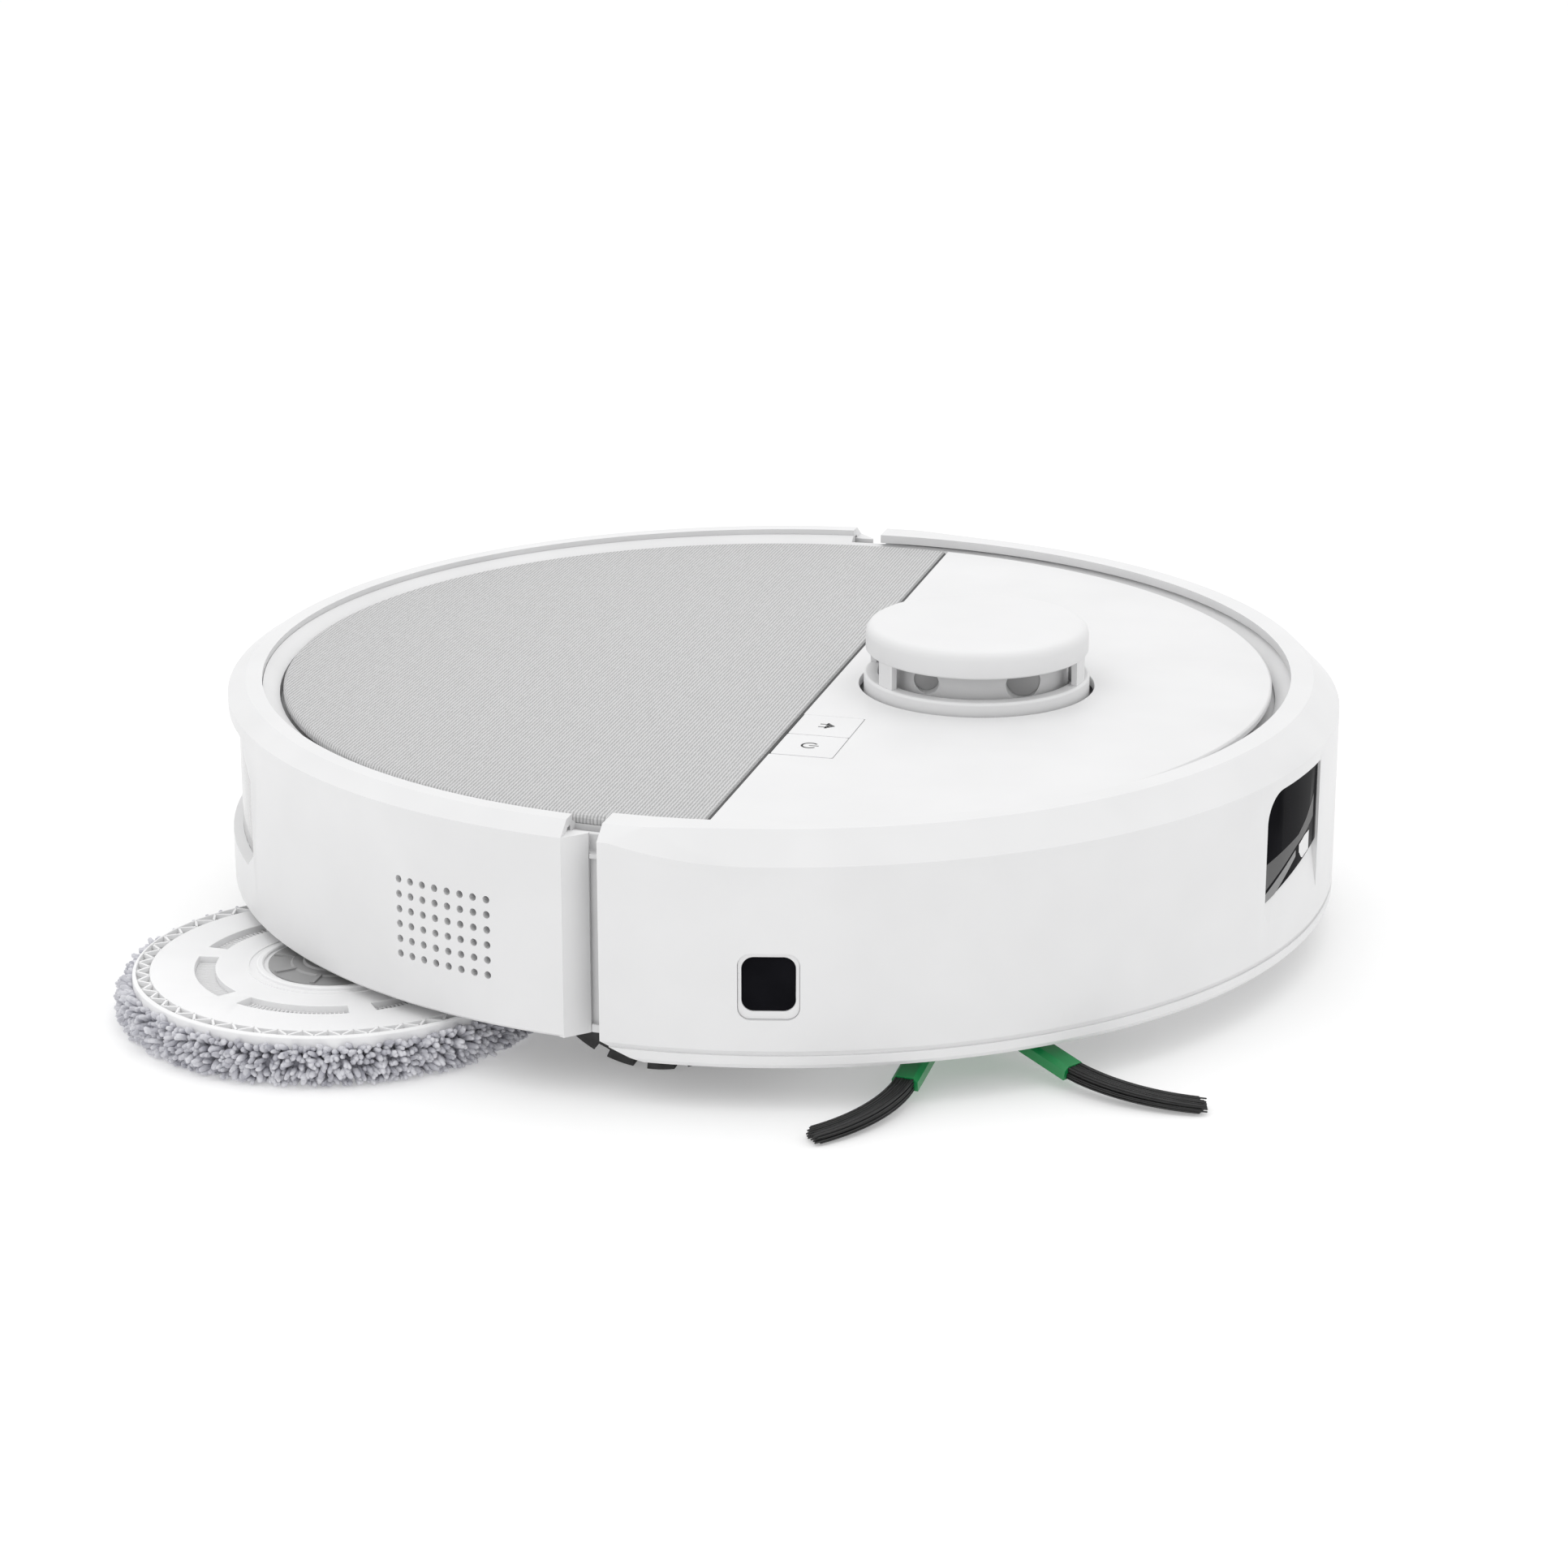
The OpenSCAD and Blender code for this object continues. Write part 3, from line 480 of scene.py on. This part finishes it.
NUB_R = 0.86               # mm, radius of a chenille finger
NUB_SIDES = 6
NUB_STEPS = 4
NUB_SWELL = (0.75, 1.0, 1.08, 1.02, 0.68)      # of the radius, from root to tip
# Root to tip tones: painted shade darkens the root of each finger, painted light brightens its
# tip.
NUB_ROOT_SHADE_TIP_LIGHT = (-0.25, -0.1, 0.05, 0.2, 0.3)      # added to the finger's tone, from root to tip
PILE_DEPTH = 5.0           # mm that the fingers stand out past the backing
PILE_ROWS = 10
PILE_STEP = 2.0            # mm between the fingers of a row
SOLE_STEP = 3.1            # mm between the fingers underneath
PAD_FLOOR = 0.02           # mm, lowest height that a finger may reach


def nub(b, root, way, length, rnd, tone):
    """One chenille finger: it leaves root along way, droops and ends round."""
    way = way.normalized()
    bend = Vector((rnd.uniform(-1, 1), rnd.uniform(-1, 1), rnd.uniform(-0.9, 0.35))) * 0.45
    path, p, d = [], root.copy(), way.copy()
    for i in range(NUB_STEPS + 1):
        path.append(p.copy())
        d = (d + bend / NUB_STEPS).normalized()
        p = p + d * (length / NUB_STEPS)
    r = NUB_R * rnd.uniform(0.82, 1.15)
    for q in path:
        q.z = max(q.z, PAD_FLOOR + r)
    b.strand(path, [r * k for k in NUB_SWELL], NUB_SIDES, [tone + k for k in NUB_ROOT_SHADE_TIP_LIGHT])


def mop_pad(node, body, seed):
    """Disc of chenille fingers on a backing; the pile stands out past the plate."""
    rnd = random.Random(seed)
    c, top, rim = place(node)
    b = Build()
    core = rim - PILE_DEPTH
    # The backing gets tone 0.15, darker than the fingers: painted shade deep in the pile.
    b.lathe((c.x, c.y), [(0, 1.5), (core - 3, 1.5), (core - 0.6, 2.6), (core, 4.4),
                         (core - 0.4, 7.0), (core - 2.2, top), (core - 8, top)], ROUND, 0.15)
    for row in range(PILE_ROWS):
        up = row / (PILE_ROWS - 1)
        h = 1.3 + (top - 1.0) * up
        count = int(2 * math.pi * rim / PILE_STEP)
        for k in range(count):
            a = 2 * math.pi * (k + 0.5 * (row % 2) + rnd.uniform(-0.3, 0.3)) / count
            out = Vector((math.cos(a), math.sin(a), 0))
            lift = (up - 0.4) * 1.1 + rnd.uniform(-0.35, 0.35)
            side = Vector((-out.y, out.x, 0)) * rnd.uniform(-0.55, 0.55)
            root = Vector((c.x, c.y, h)) + out * (core - 1.0 - 0.6 * abs(row - 4) / 4)
            length = rnd.uniform(3.6, 6.4) - 0.9 * abs(row - 4) / 4
            way = out + side + Vector((0, 0, lift))
            nub(b, root, way, length, rnd, rnd.uniform(0.25, 0.75))
    r = 1.5
    while r < core:
        count = max(1, int(2 * math.pi * r / SOLE_STEP))
        for k in range(count):
            a = 2 * math.pi * (k + rnd.random()) / count
            root = Vector((c.x + r * math.cos(a), c.y + r * math.sin(a), 2.2))
            t = rnd.uniform(0, 2 * math.pi)
            way = Vector((math.cos(t), math.sin(t), -0.5))
            nub(b, root, way, rnd.uniform(3.0, 4.4), rnd, rnd.uniform(0.2, 0.7))
        r += SOLE_STEP * 0.86
    obj = b.piece(node + "_pile", body, "pile", None)
    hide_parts(node)


mop_pad("mop_pad_right", "mop_right", 11)
mop_pad("mop_pad_left", "mop_left", 12)

# ---------------------------------------------------------------- mop plate ribs

TRUSS = 48                 # zigzags round a plate
GROOVE_IN = 4.9            # mm inside the plate's rim, inner side of its groove
GROOVE_OUT = 1.2           # mm inside the plate's rim, outer side of its groove
SLOTS = 6
SLOT_START = -112.5        # degrees, where the first slot begins
SLOT_SWEEP = 49            # degrees, length of a slot
SLOT_R = (35.0, 41.0)      # mm, inner and outer radius of a slot
SLOT_DEPTH = 2.4
SLOT_RIBS = 24             # steps along a slot, with a rib between each two
SPOKES = 8                 # ribs round the drive socket


def truss_ring(node, body):
    """Zigzag ribs standing in the groove round a mop plate."""
    c, top, rim = place(node)
    r0, r1 = rim - GROOVE_IN - 0.05, rim - GROOVE_OUT + 0.05
    b = Build()
    for k in range(TRUSS * 2):
        ra, rb = (r0, r1) if k % 2 else (r1, r0)
        p = flat(c) + polar(180 * k / TRUSS) * ra
        q = flat(c) + polar(180 * (k + 1) / TRUSS) * rb
        side = (q - p).normalized().cross(Vector((0, 0, 1))) * 0.34
        b.bar(p, q, top - 1.5, top - 0.06, side * 1.25, side)
    b.piece(node + "_ribs", body, "plate", 30)


def sector_strip(b, c, r0, r1, z, a0, a1, steps):
    """Flat upward-facing band between two radii from angle a0 to a1 in degrees."""
    rows = []
    for k in range(steps + 1):
        out = polar(a0 + (a1 - a0) * k / steps)
        base = Vector((c.x, c.y, z))
        rows.append((b.point(base + out * r0), b.point(base + out * r1)))
    for (p, q), (u, v) in zip(rows, rows[1:]):
        b.f.append((p, q, v, u))


def plate_details(node, body):
    """Fine cross ribs on the slot floors, grey bands on the slot and groove floors as painted
    shade in those recesses, and the dark grey drive socket round the spindle, partly painted
    shadow from the body.
    """
    c, top, rim = place(node)
    floor = top - SLOT_DEPTH
    r0, r1 = SLOT_R
    # Grey bands on the slot floors and the groove floor: painted shade in the recesses.
    g = Build()
    for slot in range(SLOTS):
        start = 360 / SLOTS * slot + SLOT_START
        sector_strip(g, c, r0 + 0.05, r1 - 0.05, floor + 0.03, start + 0.2,
                     start + SLOT_SWEEP - 0.2, 16)
    sector_strip(g, c, rim - GROOVE_IN, rim - GROOVE_OUT, top - 1.36, 0, 360, 120)
    g.piece(node + "_recess_shade", body, "recess_shade", None)
    b = Build()
    for slot in range(SLOTS):
        for k in range(1, SLOT_RIBS):
            out = polar(360 / SLOTS * slot + SLOT_START + SLOT_SWEEP * k / SLOT_RIBS)
            side = Vector((-out.y, out.x, 0)) * 0.28
            b.bar(flat(c) + out * (r0 + 0.1), flat(c) + out * (r1 - 0.1), floor - 0.1,
                  floor + 0.45, side, side * 0.4)
    b.lathe((c.x, c.y), [(21.0, top - 0.4), (21.0, top + 0.5), (21.4, top + 0.75),
                         (22.6, top + 0.75), (23.0, top + 0.5), (23.0, top - 0.4)], ROUND)
    b.lathe((c.x, c.y), [(25.2, top - 0.4), (25.2, top + 0.1), (25.8, top + 0.1),
                         (25.8, top - 0.4)], ROUND)
    b.piece(node + "_details", body, "plate", 30)
    # Dark grey socket: the drive socket's own tone, darkened in part as painted shadow from the
    # body above.
    d = Build()
    d.lathe((c.x, c.y), [(6.6, top - 0.4), (6.6, top + 1.2), (9.0, top + 1.2), (9.6, top + 0.7),
                         (12.6, top + 0.7), (13.2, top + 0.25), (19.6, top + 0.25),
                         (19.6, top - 0.4)], ROUND)
    for k in range(SPOKES):
        out = polar(360 * k / SPOKES)
        side = Vector((-out.y, out.x, 0)) * 0.7
        d.bar(flat(c) + out * 12.4, flat(c) + out * 19.0, top + 0.1, top + 0.8, side, side)
    d.piece(node + "_socket", body, "socket", 30)


for side, body in (("right", "mop_right"), ("left", "mop_left")):
    truss_ring("mop_plate_" + side, body)
    plate_details("mop_plate_" + side, body)

# ---------------------------------------------------------------- side brush bristles


BRUSH_AXIS = math.radians(-64)     # direction half way between the two arms
TUFT_ROOT = Vector((25.0, 24.5))   # end of an arm, in millimetres along and across that axis
TUFT_HEADING = math.radians(31)    # between that axis and a tuft where it leaves its arm
TUFT_BEND = 49.0           # mm, radius of the curve that a tuft follows
TUFT_LENGTH = 38.5         # mm
TUFT_ACROSS, TUFT_DEEP = 15, 5     # bristles across a tuft and through it
BRISTLE_R = 0.25           # mm
BRISTLE_STEPS = 14


def bristle_tuft(b, hub, mirror, rnd):
    """Flat bundle of bristles that leaves the arm and curves outward, its tips splayed."""
    along = Vector((math.cos(BRUSH_AXIS), math.sin(BRUSH_AXIS), 0))
    across = Vector((-along.y, along.x, 0)) * mirror
    for i in range(TUFT_ACROSS):
        for j in range(TUFT_DEEP):
            aside = 2 * i / (TUFT_ACROSS - 1) - 1
            s = aside * 2.55 + rnd.uniform(-0.12, 0.12)
            fan = aside * 0.7 + rnd.uniform(-0.35, 0.35)
            rise = j / (TUFT_DEEP - 1) + rnd.uniform(-0.08, 0.08)
            long = TUFT_LENGTH + rnd.uniform(-1.3, 1.3)
            path = []
            for n in range(-1, BRISTLE_STEPS + 1):
                t = n / BRISTLE_STEPS
                swing = long * t / TUFT_BEND
                r = TUFT_BEND + s + fan * max(t, 0) ** 2
                a = TUFT_HEADING - math.pi / 2 + swing
                x = TUFT_ROOT.x - TUFT_BEND * math.sin(TUFT_HEADING) + r * math.cos(a)
                y = TUFT_ROOT.y + TUFT_BEND * math.cos(TUFT_HEADING) + r * math.sin(a)
                low, high = 3.4 - 2.7 * max(t, 0) ** 0.8, 6.5 - 3.9 * max(t, 0)
                z = low + (high - low) * rise
                path.append(Vector((hub.x, hub.y, z)) + along * x + across * y)
            b.strand(path, [BRISTLE_R] * len(path), 5, [rnd.uniform(0.1, 0.95)] * len(path))


def side_brush():
    rnd = random.Random(5)
    hub = place("side_brush_screw")[0]
    b = Build()
    bristle_tuft(b, hub, 1, rnd)
    bristle_tuft(b, hub, -1, rnd)
    obj = b.piece("side_brush_strands", "side_brush", "bristle", None)
    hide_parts("side_brush_bristles")


side_brush()

# ---------------------------------------------------------------- button icons


def stroke(b, points, width, z0, z1, closed=False):
    """Flat line of even width through the points, raised from z0 to z1."""
    nexts = points[1:] + points[:1] if closed else points[1:]
    for p, q in zip(points, nexts):
        p, q = Vector((*p, 0)), Vector((*q, 0))
        along = (q - p).normalized() * width * 0.5
        side = Vector((-along.y, along.x, 0))
        b.bar(p - along * 0.6, q + along * 0.6, z0, z1, side, side)


def button_icon(node, shapes, width):
    """Printed sign on a button. Shapes are lines of (forward, left) offsets from its centre."""
    c, top, _ = place(node)
    b = Build()
    for points, closed in shapes:
        moved = [(c.x + x, c.y + y) for x, y in points]
        stroke(b, moved, width, top - 0.1, top + 0.04, closed)
    b.piece(node + "_icon", node, "icon", None)


POWER_R = 2.3              # mm, radius of the ring in the power sign
POWER_ARC = [tuple(polar(a).xy * POWER_R) for a in range(42, 319, 12)]
button_icon("home_button", [([(0.1, 2.3), (2.2, 0), (0.1, -2.3)], True),
                            ([(0.6, 1.0), (1.5, 0), (0.6, -1.0)], True),
                            ([(0.1, 1.35), (-2.0, 1.35)], False),
                            ([(0.1, -1.35), (-2.0, -1.35)], False)], 0.62)
button_icon("power_button", [(POWER_ARC, False), ([(0.0, 0), (2.5, 0)], False)], 0.6)

# ---------------------------------------------------------------- lid gap strip, painted shade


LID_R = 152.3              # mm, radius of the circle of lid and front panel
LID_CX = -2.0              # mm, centre of that circle along X


def lid_gap_shade_strip():
    """Dark strip on the front edge of the lid, along the gap to the front panel: painted shade
    standing for the shadow in that gap.
    """
    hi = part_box("rear_lid")[1] / MM
    x, top = hi.x, hi.z
    half = math.sqrt(LID_R ** 2 - (x - LID_CX) ** 2) - 0.6
    section = [(x - 0.45, top - 0.62), (x - 0.02, top - 1.05), (x - 0.02, top - 1.3),
               (x + 0.1, top - 1.3), (x + 0.1, top - 0.98), (x - 0.37, top - 0.5)]
    b = Build()
    near = [b.point((px, -half, pz)) for px, pz in section]
    far = [b.point((px, half, pz)) for px, pz in section]
    n = len(section)
    b.f.append(tuple(near))
    b.f.append(tuple(far[::-1]))
    for i in range(n):
        j = (i + 1) % n
        b.f.append((near[j], near[i], far[i], far[j]))
    b.piece("lid_gap_painted_shade", "lid", "gap_shade", 30)


lid_gap_shade_strip()

# ---------------------------------------------------------------- front sensor windows


GLASS_R = 170.2            # mm, radius of the outer face of the front windows
GLASS_SKIN = 0.04          # mm that a band stands in front of the glass


def line_at(points, a):
    """Height of a line through (angle, height) points at angle a."""
    for (a0, z0), (a1, z1) in zip(points, points[1:]):
        if a <= a1:
            return z0 + (z1 - z0) * (a - a0) / (a1 - a0)
    return points[-1][1]


def window_band(name, mat, lower, upper, mirror):
    """Band that follows the curved glass between a lower and an upper line."""
    a0, a1 = lower[0][0], lower[-1][0]
    b = Build()
    rows = []
    steps = max(6, int((a1 - a0) * 3))
    for k in range(steps + 1):
        a = a0 + (a1 - a0) * k / steps
        out = polar(mirror * a) * (GLASS_R + GLASS_SKIN)
        low = line_at(lower, a)
        high = max(line_at(upper, a), low + 0.02)
        rows.append((b.point(out + Vector((0, 0, low))), b.point(out + Vector((0, 0, high)))))
    for (p, q), (u, v) in zip(rows, rows[1:]):
        b.f.append((p, u, v, q) if mirror > 0 else (q, v, u, p))
    b.piece(name, "bumper", mat, None)


def window_details(side, mirror):
    """Grey tray, pale ledge and white bar seen low behind the glass of a front window, as bands
    on its outer face.
    """
    window_band("tray_" + side, "smoke",
                [(-20.2, 37.6), (-13.2, 45.4), (-10.4, 47.6), (-8.2, 50.5)],
                [(-20.2, 45.6), (-12.6, 48.6), (-10.4, 51.8), (-8.2, 57.5)], mirror)
    window_band("ledge_" + side, "smoke_pale", [(-20.2, 33.9), (-18.0, 35.2), (-13.2, 42.4)],
                [(-20.2, 36.4), (-13.4, 44.3), (-13.2, 44.4)], mirror)
    window_band("bar_" + side, "panel", [(-12.3, 43.0), (-11.4, 40.2), (-9.4, 41.4)],
                [(-12.3, 45.3), (-10.7, 46.9), (-9.4, 47.3)], mirror)


window_details("right", 1)
window_details("left", -1)

# ---------------------------------------------------------------- floor and light


FLOOR_SIZE = 6             # metres from its middle to a side
FLOOR_DROP = 0.0003        # metres below the object, so that nothing cuts it
WORLD_LIGHT = 0.95


def make_stage():
    """Pale floor that glows a little, so that shadows stay soft, in an even white world."""
    bm = bmesh.new()
    bmesh.ops.create_grid(bm, x_segments=2, y_segments=2, size=FLOOR_SIZE)
    mesh = bpy.data.meshes.new("floor")
    bm.to_mesh(mesh)
    bm.free()
    floor = bpy.data.objects.new("floor", mesh)
    scene.collection.objects.link(floor)
    floor.location.z = -FLOOR_DROP
    m = Mat("floor")
    m.set(Base_Color=(0.74, 0.74, 0.74, 1), Roughness=0.9, Specular_IOR_Level=0.1,
          Emission_Color=(1, 1, 1, 1), Emission_Strength=0.27)
    mesh.materials.append(m.m)
    world = bpy.data.worlds.new("studio")
    scene.world = world
    world.use_nodes = True
    background = world.node_tree.nodes["Background"]
    background.inputs["Color"].default_value = (1, 1, 1, 1)
    background.inputs["Strength"].default_value = WORLD_LIGHT


def area_light(name, at, size, power):
    """Square light of a side in metres and a power in watts, aimed at the origin."""
    data = bpy.data.lights.new(name, "AREA")
    data.shape = "RECTANGLE"
    data.size = data.size_y = size
    data.energy = power
    obj = bpy.data.objects.new(name, data)
    scene.collection.objects.link(obj)
    obj.location = Vector(at)
    obj.rotation_euler = (-Vector(at)).to_track_quat("-Z", "Y").to_euler()


make_stage()
area_light("key", (-0.7, -0.6, 1.5), 1.4, 3.0)
area_light("top", (0.2, 0.5, 1.8), 2.0, 8)
scene.view_settings.view_transform = "Standard"
scene.view_settings.exposure = 0.0
